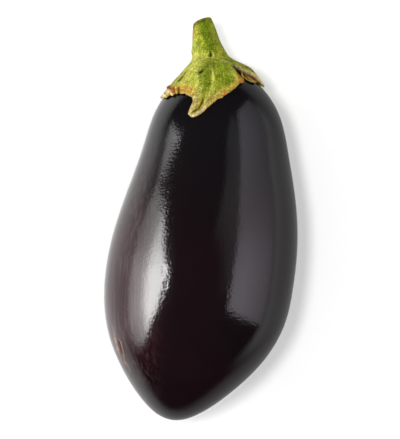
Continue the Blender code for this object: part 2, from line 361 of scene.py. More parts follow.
def waxySkin():
    material, tree = startMaterial("waxed aubergine skin")
    place = addNode(tree, "TexCoord").outputs["Object"]
    split = addNode(tree, "SeparateXYZ", inputs={"Vector": place})
    zone = {}
    for name, axis, start, full in skinFinish["zones"]:
        zone[name] = addNode(tree, "MapRange", {"interpolation_type": "SMOOTHSTEP"}, {
            "Value": split.outputs[axis], "From Min": start * mm, "From Max": full * mm,
        }).outputs["Result"]
    # broad drift from black to purple
    drift = addNode(tree, "TexNoise", inputs={
        "Vector": place, "Scale": 1 / (skinFinish["driftSize"] * mm), "Detail": 3.0,
        "Roughness": 0.55})
    dark, deep = skinFinish["driftRange"]
    base = addNode(tree, "ValToRGB", inputs={"Fac": drift.outputs["Fac"]}, stops=[
        (dark, linearColour(skinFinish["dark"])), (deep, linearColour(skinFinish["deep"]))])
    # painted light: a maroon flush low on the left flank, where the lamps light it
    litFlush = zone["litLeftFlank"]
    for name in ("lowEnd", "tip"):
        litFlush = addNode(tree, "Math", {"operation": "MULTIPLY"}, {
            0: litFlush, 1: zone[name]}).outputs["Value"]
    # lengthwise bloom lines, kept to the lit left flank, their mauve partly a painted reflection
    # tint
    across = 1 / (skinFinish["bloomWidth"] * mm)
    along = 1 / (skinFinish["bloomLength"] * mm)
    lengthwise = addNode(tree, "Mapping", inputs={
        "Vector": place, "Scale": (across, along, across)})
    lines = addNode(tree, "TexNoise", inputs={
        "Vector": lengthwise.outputs["Vector"], "Scale": 1.0, "Detail": 3.0})
    clear, thick = skinFinish["bloomRange"]
    bloomAndReflectionShare = addNode(tree, "MapRange", inputs={
        "Value": lines.outputs["Fac"], "From Min": clear, "From Max": thick,
        "To Min": 0.0, "To Max": skinFinish["bloomCover"]})
    bloomAndReflectionShare = addNode(tree, "Math", {"operation": "MULTIPLY"}, {
        0: bloomAndReflectionShare.outputs["Result"], 1: zone["litLeftFlank"]}).outputs["Value"]
    # orange peel and growth lines in the wax
    peel = addNode(tree, "TexNoise", inputs={
        "Vector": place, "Scale": 1 / (skinFinish["peelSize"] * mm), "Detail": 2.0})
    across = 1 / (skinFinish["streakWidth"] * mm)
    along = 1 / (skinFinish["streakLength"] * mm)
    stretched = addNode(tree, "Mapping", inputs={
        "Vector": place, "Scale": (across, along, across)})
    streak = addNode(tree, "TexNoise", inputs={
        "Vector": stretched.outputs["Vector"], "Scale": 1.0, "Detail": 3.0})
    relief = addNode(tree, "Math", {"operation": "MULTIPLY_ADD"}, {
        0: streak.outputs["Fac"], 1: skinFinish["streakShare"], 2: peel.outputs["Fac"]})
    bump = addNode(tree, "Bump", inputs={
        "Height": relief.outputs["Value"], "Strength": 1.0,
        "Distance": skinFinish["peelHeight"] * mm})
    rough = addNode(tree, "Math", {"operation": "MULTIPLY_ADD"}, {
        0: streak.outputs["Fac"], 1: skinFinish["roughnessDrift"],
        2: skinFinish["roughness"] - skinFinish["roughnessDrift"] / 2}).outputs["Value"]
    # what lies over the pigment, from the broad tints to the marks, which are rougher too
    tints = [("crown", zone["crown"]), ("litFlankMaroon", litFlush), ("bloomAndReflection", bloomAndReflectionShare)]
    for name, roughening in skinFinish["marks"]:
        mark = addNode(tree, "Attribute", {"attribute_name": name}).outputs["Fac"]
        tints.append((name, mark))
        rough = addNode(tree, "Math", {"operation": "MULTIPLY_ADD"}, {
            0: mark, 1: roughening, 2: rough}).outputs["Value"]
    colour = base.outputs["Color"]
    for name, share in tints:
        colour = addNode(tree, "Mix", {"data_type": "RGBA"}, {
            0: share, 6: colour, 7: linearColour(skinFinish[name])}).outputs[2]
    surface = addNode(tree, "BsdfPrincipled", inputs={
        "Base Color": colour, "Roughness": rough, "IOR": skinFinish["ior"],
        "Normal": bump.outputs["Normal"]})
    addNode(tree, "OutputMaterial", inputs={"Surface": surface.outputs["BSDF"]})
    return material


# The calyx and the cut stem: one skin, laid ring by ring from the cut down over the crown.

calyx = {
    "edge": [(-58, 74.8), (-51, 75.9), (-43, 76.3), (-35, 75.5), (-27.5, 74.4), (-21.5, 73.0),
             (-19, 71.0), (-17.8, 68.0), (-16.6, 65.0), (-12.5, 63.6), (-8.4, 64.6),
             (-4.5, 68.5), (0.5, 72.2), (5.5, 74.2), (10.5, 75.4), (21, 78.6), (29, 80.7),
             (36, 81.7), (39, 83.9), (42.4, 87.6), (44.8, 84.2), (48, 82.4), (54, 82.0),
             (66, 82.4), (80, 82.0), (92, 80.4), (104, 81.6), (118, 84.4), (130, 80.0),
             (141, 73.2), (148, 67.6), (154, 72.6), (166, 79.6), (180, 83.4), (193, 79.0),
             (203, 72.4), (209, 69.0), (216, 74.0), (226, 79.4), (238, 82.4), (250, 79.0),
             (259, 76.4), (267, 75.1), (280, 75.2), (291, 74.8)],  # (turn, place along Y)
    "sepals": [(-14, 1.2), (92, 0.0), (149, 1.0), (208, 1.2), (268, 0.0)],  # (turn, tip lift)
    "tipWidth": 13,
    "tipLiftStart": 0.55,
    "edgeLift": 0.15,
    "lean": 8,  # how far the tongue down the middle leans to the left
    "leanTurn": -15,
    "leanWidth": 14,
    "leanPolar": (35, 49),
    "neckPolar": 11.5,
    "ownShare": 0.25,  # how much the neck's points crowd together as the edge's do
    "gap": 0.35,  # between the leaf and the skin
    "edgeThickness": 0.8,
    "neckThickening": 0.27,
    "thickeningRadius": 24,
    "ridgeHeight": 0.7,
    "ridgeWidth": 11,
    "ridgeStart": 6,
    "hollow": 1.5,  # how far the left shoulder of the cap lies in
    "hollowTurn": (-85, 40),
    "hollowRadius": (15, 7),
    "ledge": 1.3,  # how much lower the torn flesh beside the cleft lies
    "ledgeTurns": (41.5, 84),
    "ledgePolar": (17.8, 27.6),
    "ledgeStep": 2.4,
    "ledgeFade": 16,
    "leastThickness": 0.7,
    "stemFoot": (1.9, 98.4, 0.6),  # X, Y and the height over the fruit's middle line
    "stemEnd": (-0.9, 114.4, -0.8),
    "stemRadius": [(0, 8.4), (0.3, 6.9), (0.7, 5.8), (1, 4.7)],
    "stemRibs": 0.03,
    "stemRibWidth": 20,
    "neckDraw": 0.75,
    "neckDrawSpan": (90, 98),
    "cutNormal": (-0.36, 0.95, -0.22),
    "cutTurnStart": 0.2,  # from where on the stem's rings turn towards the cut
    "cutRings": [(0.15, 0.5), (0.45, 0.4), (0.7, 0.25), (0.86, 0.1), (0.94, 0),
                 (0.985, -0.03)],  # (share of the radius, depth): the pith has dried in
    "columns": 320,
    "stemRings": 14,
    "capRings": 30,
    "underRings": 7,
    "lastRing": 0.985,  # how far the rings go before the corner at the cut and at the edge
    "edgeLayer": 0.55,
    "underSpread": 0.8,
    "edgeFineness": 12,
    "waves": [(23, 0.2), (41, 0.18), (67, 0.18), (97, 0.16), (131, 0.1)],  # (count, height)
    "raggedness": 0.7,  # how rough the margin is all round, and where it is rougher
    "rougher": [(-56, 14, 0.9), (66, 20, 0.7), (190, 60, 0.5)],  # (turn, width, how much)
    "degree": 1.2,  # millimetres of skin for a polar degree there
    "teeth": [(-21.5, 1.0, 1.0), (5.5, 1.2, 0.9), (-52, 1.4, 0.9), (-57, 1.2, -0.8),
              (-47, 1.2, -0.7), (60, 2.5, 0.6), (72, 2.0, -0.5)],  # (turn, width, length)
    "seed": 7,
}

# lays of the cut's middle, of a whole radius of the cut, and of the last ring under the crown
cutMiddleLay, cutLayStep, crownLay = -1.2, 0.15, 1.95

stemRadius = splineThrough(calyx["stemRadius"])
cutNormal = np.array(calyx["cutNormal"]) / np.linalg.norm(calyx["cutNormal"])


def polarOf(along):
    return math.degrees(math.acos((along - fruit["middle"]) / fruit["halfLength"]))


def leaned(polar, turn):
    # the turn of a point of the cap once the tongue leans over to the left
    lean = calyx["lean"] * hump(turn, calyx["leanTurn"], calyx["leanWidth"])
    return turn - lean * smoothStep(*calyx["leanPolar"], polar)


def curveBetween(before, start, end, after, t):
    # a smooth curve from start to end that heeds the points on either side of them
    return 0.5 * (2 * start + (end - before) * t
                  + (2 * before - 5 * start + 4 * end - after) * t * t
                  + (3 * start - before - 3 * end + after) * t**3)


def edgeCurve(count):
    # the turns and polar angles of even steps along the calyx edge
    keys = [np.array((turn, polarOf(y))) for turn, y in calyx["edge"]]
    fullTurn = np.array((360, 0))
    ring = [keys[-1] - fullTurn, *keys, keys[0] + fullTurn, keys[1] + fullTurn]
    fineness = calyx["edgeFineness"]
    fine = []
    for corners in zip(ring, ring[1:], ring[2:], ring[3:]):
        for step in range(fineness):
            fine.append(curveBetween(*corners, step / fineness))
    fine.append(keys[0] + fullTurn)
    turns, polars = np.array(fine).T
    places = skinAt(polars, leaned(polars, turns))
    run = np.concatenate([[0], np.cumsum(np.linalg.norm(np.diff(places, axis=0), axis=1))])
    wanted = run[-1] * np.arange(count) / count
    return np.interp(wanted, run, turns), np.interp(wanted, run, polars)


def raggedEdge(turns, polars):
    # small waves and teeth of a dry margin, in degrees of polar angle
    chance = np.random.default_rng(calyx["seed"])
    way = np.arange(len(turns)) / len(turns) * 2 * math.pi
    rough = calyx["raggedness"]
    for turn, width, more in calyx["rougher"]:
        rough = rough + more * hump(turns, turn, width)
    shift = sum(height * np.sin(count * way + chance.uniform(0, 2 * math.pi))
                for count, height in calyx["waves"]) * rough
    for turn, width, length in calyx["teeth"]:
        shift += length * hump(turns, turn, width)
    return polars + shift / calyx["degree"]


def capThickness(polar, turn, share):
    # thickest at the neck, ridged along the sepals and hollow on the left
    place = skinAt(polar, turn)
    along = place[:, 1]
    radius = np.hypot(place[:, 0] - sideways(along), place[:, 2] - spineHeight(along))
    inside = np.maximum(calyx["thickeningRadius"] - radius, 0)
    thick = calyx["edgeThickness"] + calyx["neckThickening"] * inside
    crown = fruit["middle"] + fruit["halfLength"]
    ridges = [hump(turn, middle, calyx["ridgeWidth"]) for middle, _ in calyx["sepals"]]
    start = smoothStep(crown, crown - calyx["ridgeStart"], along)
    thick += calyx["ridgeHeight"] * np.max(ridges, axis=0) * start * (1 - share)
    middle, width = calyx["hollowTurn"]
    narrow = hump(turn, middle, width) * hump(radius, *calyx["hollowRadius"])
    thick -= calyx["hollow"] * narrow
    return np.maximum(thick - ledgeDepth(polar, turn), calyx["leastThickness"])


def ledgeDepth(polar, turn):
    # the step down to the torn flesh, which fades out round the fruit
    first, last = calyx["ledgeTurns"]
    top, bottom = calyx["ledgePolar"]
    border = top + (bottom - top) * (turn - first) / (last - first)
    depth = calyx["ledge"] * smoothStep(border, border + calyx["ledgeStep"], polar)
    depth = depth * (1 - smoothStep(last - calyx["ledgeFade"], last, turn))
    return np.where((turn > first) & (turn < last), depth, 0)


def tipLift(turn, share):
    lift = calyx["edgeLift"] + sum(
        height * hump(turn, tip, calyx["tipWidth"]) for tip, height in calyx["sepals"])
    return lift * smoothStep(calyx["tipLiftStart"], 1.0, share)


def stemPoint(share, turn, radiusShare=1.0, dish=0.0):
    # points of the stem, at a share of the way from its foot to the cut
    ends = [np.array((x, y, spineHeight(y) + rise))
            for x, y, rise in (calyx["stemFoot"], calyx["stemEnd"])]
    axis = (ends[1] - ends[0]) / np.linalg.norm(ends[1] - ends[0])
    facing = axis + (cutNormal - axis) * smoothStep(calyx["cutTurnStart"], 1.0, share)
    facing = facing / np.linalg.norm(facing)
    side = np.array((1, 0, 0)) - facing * facing[0]
    side = side / np.linalg.norm(side)
    up = np.cross(side, facing)
    ribs = sum(hump(turn, middle, calyx["stemRibWidth"]) for middle, _ in calyx["sepals"])
    radius = stemRadius(share) * (1 + calyx["stemRibs"] * ribs) * radiusShare
    angle = np.radians(turn)
    centre = ends[0] + (ends[1] - ends[0]) * share - facing * dish
    spread = np.sin(angle)[:, None] * side + np.cos(angle)[:, None] * up
    return centre + spread * radius[:, None]


def capRing(necks, turns, polars, share, layer):
    # a ring of the cap, where layer runs from 0 on its under side to 1 on its upper side
    turn = necks + (turns - necks) * share
    polar = calyx["neckPolar"] + (polars - calyx["neckPolar"]) * share
    height = calyx["gap"] + tipLift(turn, share) + layer * capThickness(polar, turn, share)
    here = leaned(polar, turn)
    places = skinAt(polar, here) + skinNormal(polar, here) * height[:, None]
    if layer == 0:
        return places
    foot = stemPoint(0, turn)
    drawn = calyx["neckDraw"] * smoothStep(*calyx["neckDrawSpan"], places[:, 1])
    places[:, 0] += (foot[:, 0] - places[:, 0]) * drawn
    places[:, 2] += (foot[:, 2] - places[:, 2]) * drawn
    return places


def calyxRings():
    # (lay, places) from the cut's middle outwards. Lay is -1 at the cut, 0 at the neck, 1 at
    # the edge and 2 under the crown.
    turns, polars = edgeCurve(calyx["columns"])
    polars = raggedEdge(turns, polars)
    even = 360 * np.arange(len(turns)) / len(turns)
    even = np.mean(turns - even) + even
    necks = calyx["ownShare"] * turns + (1 - calyx["ownShare"]) * even
    rings = []
    for radius, depth in calyx["cutRings"]:
        rings.append((cutMiddleLay + radius * cutLayStep, stemPoint(1.0, necks, radius, depth)))
    steps = calyx["stemRings"]
    for i in range(steps):
        share = calyx["lastRing"] * (1 - i / steps)
        rings.append((-share, stemPoint(share, necks)))
    steps = calyx["capRings"]
    for i in range(steps):
        share = calyx["lastRing"] * i / (steps - 1)
        rings.append((share, capRing(necks, turns, polars, share, 1)))
    rings.append((1.0, capRing(necks, turns, polars, 1.0, calyx["edgeLayer"])))
    steps = calyx["underRings"]
    for i in range(steps):
        share = calyx["lastRing"] * (1 - i / steps) ** calyx["underSpread"]
        rings.append((2 - share, capRing(necks, turns, polars, share, 0)))
    middle = np.full_like(necks, calyx["neckPolar"] / 2)
    under = skinAt(middle, necks) + skinNormal(middle, necks) * calyx["gap"]
    rings.append((crownLay, under))
    return rings


def layRing(piece, lay, places):
    # pulls a new ring out of the open rim, which is selected, and lays it in its place
    bpy.ops.mesh.extrude_region_move()
    sheet = bmesh.from_edit_mesh(piece.data)
    column = sheet.verts.layers.int["column"]
    layOf = sheet.verts.layers.float["lay"]
    for point in sheet.verts:
        if point.select:
            point.co = places[point[column]] * mm
            point[layOf] = lay
    bmesh.update_edit_mesh(piece.data)


def makeCalyx():
    rings = calyxRings()
    count = calyx["columns"]
    deselectAll()
    bpy.ops.mesh.primitive_circle_add(vertices=count, radius=1)
    piece = bpy.context.object
    piece.name = "calyxAndStem"
    piece.data.attributes.new("column", "INT", "POINT")
    piece.data.attributes.new("lay", "FLOAT", "POINT")
    bpy.ops.object.mode_set(mode="EDIT")
    sheet = bmesh.from_edit_mesh(piece.data)
    column = sheet.verts.layers.int["column"]
    layOf = sheet.verts.layers.float["lay"]
    firstLay, firstPlaces = rings[0]
    for point in sheet.verts:
        around = math.atan2(point.co.y, point.co.x) / (2 * math.pi)
        point[column] = round(around * count) % count
        point.co = firstPlaces[point[column]] * mm
        point[layOf] = firstLay
    bmesh.update_edit_mesh(piece.data)
    for lay, places in rings[1:]:
        layRing(piece, lay, places)
    bpy.ops.object.mode_set(mode="OBJECT")
    applyModifier(piece, "SUBSURF", levels=1, render_levels=1)
    closeEnds(piece)
    bpy.ops.object.shade_smooth()
    print("calyx laid:", len(piece.data.vertices), "points")
    return piece


def closeEnds(piece):
    # the middle of the cut and the middle under the crown are still open: each is drawn shut
    bpy.ops.object.mode_set(mode="EDIT")
    for side in (-1, 1):
        sheet = bmesh.from_edit_mesh(piece.data)
        layOf = sheet.verts.layers.float["lay"]
        for point in sheet.verts:
            point.select = point.is_boundary and point[layOf] * side > 0
        sheet.select_flush_mode()
        bmesh.update_edit_mesh(piece.data)
        bpy.ops.mesh.extrude_region_move()
        bpy.ops.mesh.merge(type="CENTER")
    bpy.ops.mesh.select_all(action="SELECT")
    bpy.ops.mesh.normals_make_consistent(inside=False)
    bpy.ops.object.mode_set(mode="OBJECT")


# Marks on the calyx, in the order in which it is worked in: what age and picking have done, with
# painted shadow in slits and pits, painted shade and painted light among them; each is the route in
# plan as (X, Y), the width, the lift, the colour and how well it covers.
calyxMarks = [
    # painted light down the stem's left side, which the lamps on the left light
    ([(-6, 113), (-5.5, 104), (-6.5, 97)], 2.2, 0, "paleGreenAndLit", 0.75),
    ([(-4.5, 111), (-4.2, 106)], 1.0, 0, "ochre", 0.45),
    ([(0.3, 112.5), (1.6, 106), (3.4, 100)], 2.6, 0, "darkGreenAndShade", 0.8),
    ([(4.6, 111), (6.2, 104), (8.5, 98)], 1.6, 0, "olive", 0.35),
    ([(-1.4, 106.5), (-0.8, 102)], 1.0, 0, "lime", 0.5),
    ([(-7, 97), (-1, 94.5), (7, 95)], 2.6, 0, "olive", 0.5),
    ([(-4, 97.5), (2, 96)], 1.8, 0, "paleGreenAndLit", 0.4),
    # painted light on the cap's left shoulder, which the lamps on the left light
    ([(-12, 80), (-9, 87), (-6, 94)], 5.0, 0, "paleGreenAndLit", 0.75),
    ([(-4, 92), (-4, 83), (-4.5, 76)], 2.4, -0.25, "paleGreenAndLit", 0.6),
    ([(2.5, 92), (0.5, 88), (1.5, 82), (1.5, 78)], 3.2, 0, "darkGreenAndShade", 0.7),
    ([(8.5, 90), (8.5, 83)], 2.2, 0, "midGreen", 0.7),
    ([(9, 91.5), (12, 87.5), (11.5, 82)], 2.8, 0, "midGreen", 0.7),
    ([(11.5, 84.5), (13.5, 82.5)], 2.2, 0, "darkGreenAndShade", 0.5),
    ([(14.5, 87.5), (17, 85)], 2.0, 0, "paleGreenAndLit", 0.45),
    ([(4.2, 88.5), (4.9, 84.6), (4.5, 81), (3.6, 77.6), (1.8, 74.6), (0.6, 72.4)],
     0.6, 0.3, "creamAndLit", 0.62),
    ([(3, 90), (4.4, 87)], 0.8, 0, "lime", 0.4),
    # painted shade in the grooves either side of the pale midrib
    ([(6.8, 85), (6.4, 79), (4.6, 74.5)], 0.6, -0.15, "darkGreenAndShade", 0.4),
    ([(-2.2, 86), (-2.0, 79), (-1.0, 75)], 0.6, -0.15, "darkGreenAndShade", 0.4),
    ([(-2, 80), (-2.6, 75)], 1.0, 0, "creamAndLit", 0.4),
    ([(-13, 79), (-9, 79.5), (-6, 78)], 2.2, 0, "gold", 0.85),
    ([(-12.5, 76.6), (-8.5, 75.4), (-5, 74.6)], 0.6, 0.1, "lip", 0.7),
    ([(2, 76.5), (-1, 70), (-5, 66)], 2.4, 0, "olive", 0.7),
    ([(9, 78), (4.5, 75), (1.5, 71), (-2, 67), (-5, 65)], 0.8, 0.2, "tan", 0.8),
    ([(3, 74.4), (0.5, 70.6), (-2.6, 67)], 0.35, -0.12, "brown", 0.6),
    ([(-3.9, 74.5), (-4.2, 71.3), (-5.8, 69.3), (-7.2, 66)], 0.7, 0.35, "lip", 0.85),
    ([(-2.3, 73.6), (-3.1, 70.5), (-4.6, 68.6)], 0.35, 0, "ochre", 0.6),
    ([(0.6, 70.3), (-1.1, 67.8), (-3.7, 65.8), (-6.2, 65.2)], 0.75, 0.35, "lip", 0.85),
    # painted shadow in the slit of the tongue
    ([(-0.6, 73.6), (-1.3, 71.6), (-2.6, 69), (-4.2, 68), (-5.3, 67.4)], 0.5, -0.55, "crackShadow", 0.95),
    ([(-5.5, 110.8), (-4.6, 112.3), (-2.7, 113.3), (0.6, 114.5)], 0.42, 0, "barkAndShade", 0.8),
    ([(-12.4, 84.2), (-10.2, 86.8), (-8.6, 89)], 0.35, -0.3, "brown", 0.55),
    # painted shadow at the deep end of the slash
    ([(-12.8, 83.6), (-11.8, 84.5)], 0.6, -0.3, "crackShadow", 0.95),
    ([(-11.5, 85.4), (-10.8, 85.8)], 0.45, -0.2, "barkAndShade", 0.9),
    ([(-10.1, 86.8), (-9.6, 88)], 0.4, -0.2, "barkAndShade", 0.75),
    ([(-10.6, 84.9), (-9.6, 85.9)], 0.35, -0.1, "rust", 0.6),
    # painted shadow in a small pit, with a darker smear to its right
    ([(-2.4, 87.7), (-1.3, 88.4)], 0.9, -0.7, "crackShadow", 1.0),
    ([(-1.4, 88.6), (0.2, 89.2)], 0.4, -0.1, "barkAndShade", 0.5),
    # a small pit by the neck: painted shadow in it
    ([(3.4, 97.9), (3.3, 96.3)], 0.5, -0.5, "crackShadow", 1.0),
    ([(2.5, 96.3), (4.3, 96.6)], 0.45, -0.3, "barkAndShade", 0.9),
    # painted highlight on the pit's right wall, lit from the left
    ([(4.5, 97.8), (4.8, 96.4)], 0.4, 0.15, "creamAndLit", 0.6),
    ([(5.0, 99.4), (5.3, 98.6)], 0.5, -0.1, "darkGreenAndShade", 0.7),
    ([(16.6, 87), (18.1, 84.6), (19.2, 82.4)], 1.0, 0.1, "ochre", 0.8),
    ([(16, 82.6), (10.5, 78.2)], 0.7, 0.1, "gold", 0.55),
    ([(17.6, 84.2), (18.9, 82.2)], 0.9, 0, "rust", 0.55),
    ([(4.6, 85), (5.6, 80), (3.6, 76.6)], 1.0, 0.15, "lime", 0.6),
    ([(10.2, 76.4), (10.2, 75.4)], 0.8, 0, "rust", 0.8),
    ([(15.4, 91.6), (20.4, 88.1), (25.1, 85.2), (28.9, 82.2)], 0.6, 0.15, "lip", 0.85),
    ([(17.4, 88.8), (21.4, 85.9), (26.8, 83.4)], 1.5, -0.2, "barkAndShade", 0.85),
    ([(18.6, 87.8), (21.8, 85.7), (26.6, 83.4)], 1.1, 0, "brown", 0.9),
    ([(20.6, 84.9), (24, 83.7), (27, 83.1)], 0.6, -0.2, "barkAndShade", 0.85),
    ([(20.6, 86.8), (23.6, 84.9)], 0.35, 0.12, "ochre", 0.75),
    ([(21.4, 85.6), (25.4, 83.9)], 0.4, 0.1, "gold", 0.7),
    # painted shade along the cleft's right side
    ([(22, 86.8), (24.6, 85.3), (27.2, 83.6)], 0.5, -0.3, "barkAndShade", 0.9),
    ([(18.2, 89.7), (22.2, 88.1), (26, 86), (28.8, 83.3), (29.9, 80.7)], 0.6, 0.15, "lip", 0.9),
    ([(19.6, 87.2), (23, 85.7), (27.2, 83.4)], 0.9, -0.15, "brown", 0.8),
    ([(21.2, 86.3), (24.2, 84.6)], 0.3, 0.1, "ochre", 0.8),
    ([(22.6, 84.2), (25.6, 83.6)], 0.3, 0.1, "gold", 0.6),
    ([(24.5, 88.2), (27.2, 85.8), (29.3, 82.6)], 0.8, 0, "creamAndLit", 0.55),
    # painted shadow in the cleft
    ([(15, 91.2), (17.4, 88.7), (19.6, 86.1), (20.9, 83.8)], 0.85, -0.9, "crackShadow", 1.0),
    ([(17.6, 88.2), (19.2, 86.4), (20.4, 84.8)], 1.1, -0.3, "crackShadow", 0.95),
    ([(21.5, 83.4), (24.5, 83.2), (27, 83.2)], 0.5, 0, "tan", 0.7),
    # painted shadow under the lower lip
    ([(27.2, 83), (28.6, 82.3)], 0.5, 0, "barkAndShade", 0.7),
    ([(20.8, 90.5), (21.4, 90.3)], 0.4, 0.1, "barkAndShade", 0.8),
    ([(24.2, 88.6), (24.8, 88.4)], 0.45, 0.2, "barkAndShade", 0.9),
    ([(-17.8, 79.5), (-14.5, 78.5), (-12.5, 77.5)], 1.7, 0, "gold", 0.9),
    ([(-13.5, 78.6), (-10.5, 78.2), (-7.5, 77.6)], 0.8, 0.1, "rust", 0.45),
    ([(-20.8, 75.4), (-18.8, 77.2), (-17.4, 78.6)], 1.3, 0.5, "straw", 0.95),
    ([(-17.8, 81.4), (-16.9, 79.6), (-16.2, 77.4)], 0.6, -0.8, "barkAndShade", 1.0),
    ([(-18.4, 81.3), (-17.3, 80.6)], 0.9, 1.5, "barkAndShade", 0.95),
    ([(-18, 80.2), (-17.6, 79.4)], 0.5, 0.3, "rust", 0.9),
    ([(-16.2, 80), (-15.4, 77.2)], 0.5, 0.8, "rust", 0.9),
    ([(-15.1, 80.2), (-14.5, 76.8)], 0.4, -0.8, "blood", 0.95),
    ([(-14.2, 80), (-13.5, 77)], 0.5, 0.7, "gold", 0.9),
    ([(-12.9, 80.2), (-12.5, 76.8)], 0.5, -0.7, "barkAndShade", 0.95),
    ([(-16.8, 78.6), (-16, 76.4)], 0.4, 0.5, "straw", 0.9),
    ([(-19.5, 77.8), (-18.4, 76), (-18.2, 75.4)], 0.35, -0.5, "blood", 0.8),
    ([(-17.6, 77), (-17.2, 75.8)], 0.3, -0.4, "blood", 0.8),
    ([(-21.6, 75), (-20.6, 74.3)], 0.8, 0, "barkAndShade", 0.95),
    ([(6.4, 95), (10, 93.6), (14.3, 91.8)], 0.5, 0.15, "creamAndLit", 0.22),
    ([(9, 96.4), (13, 93.8)], 1.0, 0, "midGreen", 0.5),
]

calyxFinish = {
    "colours": {
        "leaf": "#838a20",
        "stem": "#78871a",
        # dark green tissue, and also painted shade in the grooves beside the midrib
        "darkGreenAndShade": "#506608",
        "midGreen": "#70801a",
        # pale green tissue, and also painted light on the left sides of the stem and cap
        "paleGreenAndLit": "#bfc058",
        "lime": "#aeb53a",
        "olive": "#9e9838",
        # cream tissue and pith, and also a painted highlight on a pit's lit wall
        "creamAndLit": "#d6c97c",
        "straw": "#efdba6",
        "gold": "#c99f48",
        "ochre": "#b27b28",
        "tan": "#b0955a",
        "lip": "#bba981",
        "rust": "#b04a1c",
        "blood": "#6e1f0c",
        "brown": "#6a400a",
        # dry dark brown, and also painted shade along the cleft and under its lower lip
        "barkAndShade": "#2a1808",
        # painted shadow in the tongue's slit, the cleft, a slash and two pits
        "crackShadow": "#0b0603",
    },
    "stemFrom": (0.1, -0.25),  # lays between which the leaf's green becomes the stem's
    "upperSide": (-0.15, 0.15),  # slopes between which the marks fade in
    "edgeLay": 1.01,  # up to where the marks go
    # what the dry margin, the underside, the cut's rim and its pith take over from the green:
    # the colour, its reach or lays, and how well it covers
    "margin": [("gold", 3.0, 0.5), ("tan", 1.3, 0.7), ("brown", 0.45, 0.6)],
    "underside": ("olive", 1.0, 1.05, 0.6),
    "cutRim": ("brown", 0.035, 0.8),
    "pith": ("creamAndLit", -1.05, -1.1),
    "grainRound": 24,  # size of the fibres' own pattern round the piece, and along it
    "grainAlong": 3,
    # the size, detail and roughness of each pattern, how strongly it tints, and its tones
    "tones": {
        "mottle": (2.6, 4.0, 0.65, 0.9, [(0.34, (0.6, 0.6, 0.6)), (0.66, (1.28, 1.28, 1.28))]),
        "fibre": (0.7, 2.0, 0.5, 1.0, [(0.35, (0.76, 0.76, 0.76)), (0.65, (1.2, 1.2, 1.2))]),
        "speckle": (0.78, 1.5, 0.5, 0.68, [(0.34, (0.45, 0.5, 0.2)), (0.5, (0.98, 0.98, 0.98)),
                                           (0.68, (1.65, 1.6, 1.5))]),
    },
    "pore": "#cfc95a",
    "poreSize": 0.8,
    "poreRange": (0.12, 0.42),
    "poreTissue": (0.02, 0.14),  # brightness between which tissue is alive and has pores
    "poreCover": 0.24,
    "poreHeight": 0.4,  # over that of the fibres
    "relief": 0.16,
    "roughness": 0.62,
    "ior": 1.4,
    "specular": 0.06,  # the felt of hairs scatters most of the shine
}


def layOver(paint, colour, share):
    # each point's paint with a share of a colour over it
    share = share[:, None]
    return paint * (1 - share) + colour * share


def workCalyx(piece):
    # strokes that raise, cut and colour the upper side, as with a sculpting brush
    places, normals = readPoints(piece)
    lay = readLayer(piece, "lay")
    colour = {name: np.array(linearColour(code))
              for name, code in calyxFinish["colours"].items()}
    paint = layOver(colour["leaf"], colour["stem"], smoothStep(*calyxFinish["stemFrom"], lay))
    paint = dryEdge(places, lay, paint, colour)
    above = smoothStep(*calyxFinish["upperSide"], normals[:, 2]) * (lay < calyxFinish["edgeLay"])
    moved = places.copy()
    for route, width, lift, name, cover in calyxMarks:
        near = nearness(places[:, :2], route, width) * above
        moved += normals * (near * lift)[:, None]
        paint = layOver(paint, colour[name], near * cover)
    paint = cutFace(lay, paint, colour)
    writePoints(piece, moved)
    writeLayer(piece, "paint", "FLOAT_COLOR", "color", paint)
    along = places[:, 1]
    turn = np.arctan2(places[:, 0] - sideways(along), places[:, 2] - spineHeight(along))
    around = calyxFinish["grainRound"]
    grain = np.stack([around * np.sin(turn), around * np.cos(turn),
                      calyxFinish["grainAlong"] * lay], -1)
    writeLayer(piece, "grain", "FLOAT_VECTOR", "vector", grain)


def dryEdge(places, lay, paint, colour):
    # the margin dries first, to gold, tan and a thin brown line
    onEdge = 0.004
    rim = places[np.abs(lay - 1) < onEdge][::2]  # every other point is near enough
    farOff = 9.0
    away = np.full(len(places), farOff)
    near = np.flatnonzero(lay > 0.2)
    batch = 4000
    for i in range(0, len(near), batch):
        some = near[i:i + batch]
        apart = places[some][:, None] - rim[None]
        away[some] = np.sqrt((apart ** 2).sum(-1)).min(axis=1)
    for name, reach, cover in calyxFinish["margin"]:
        paint = layOver(paint, colour[name], np.exp(-((away / reach) ** 2)) * cover)
    name, start, full, cover = calyxFinish["underside"]
    return layOver(paint, colour[name], smoothStep(start, full, lay) * cover)


def cutFace(lay, paint, colour):
    # a brown dry rim round pale pith
    name, width, cover = calyxFinish["cutRim"]
    paint = layOver(paint, colour[name], np.exp(-(((lay + 1.0) / width) ** 2)) * cover)
    name, outer, inner = calyxFinish["pith"]
    return layOver(paint, colour[name], smoothStep(outer, inner, lay))


# Calyx and stem are fleshy leaf: matt, thick green tissue under a fine felt of hairs, with
# pale pores, darker blotches of chlorophyll, and fibres that show where it has dried.

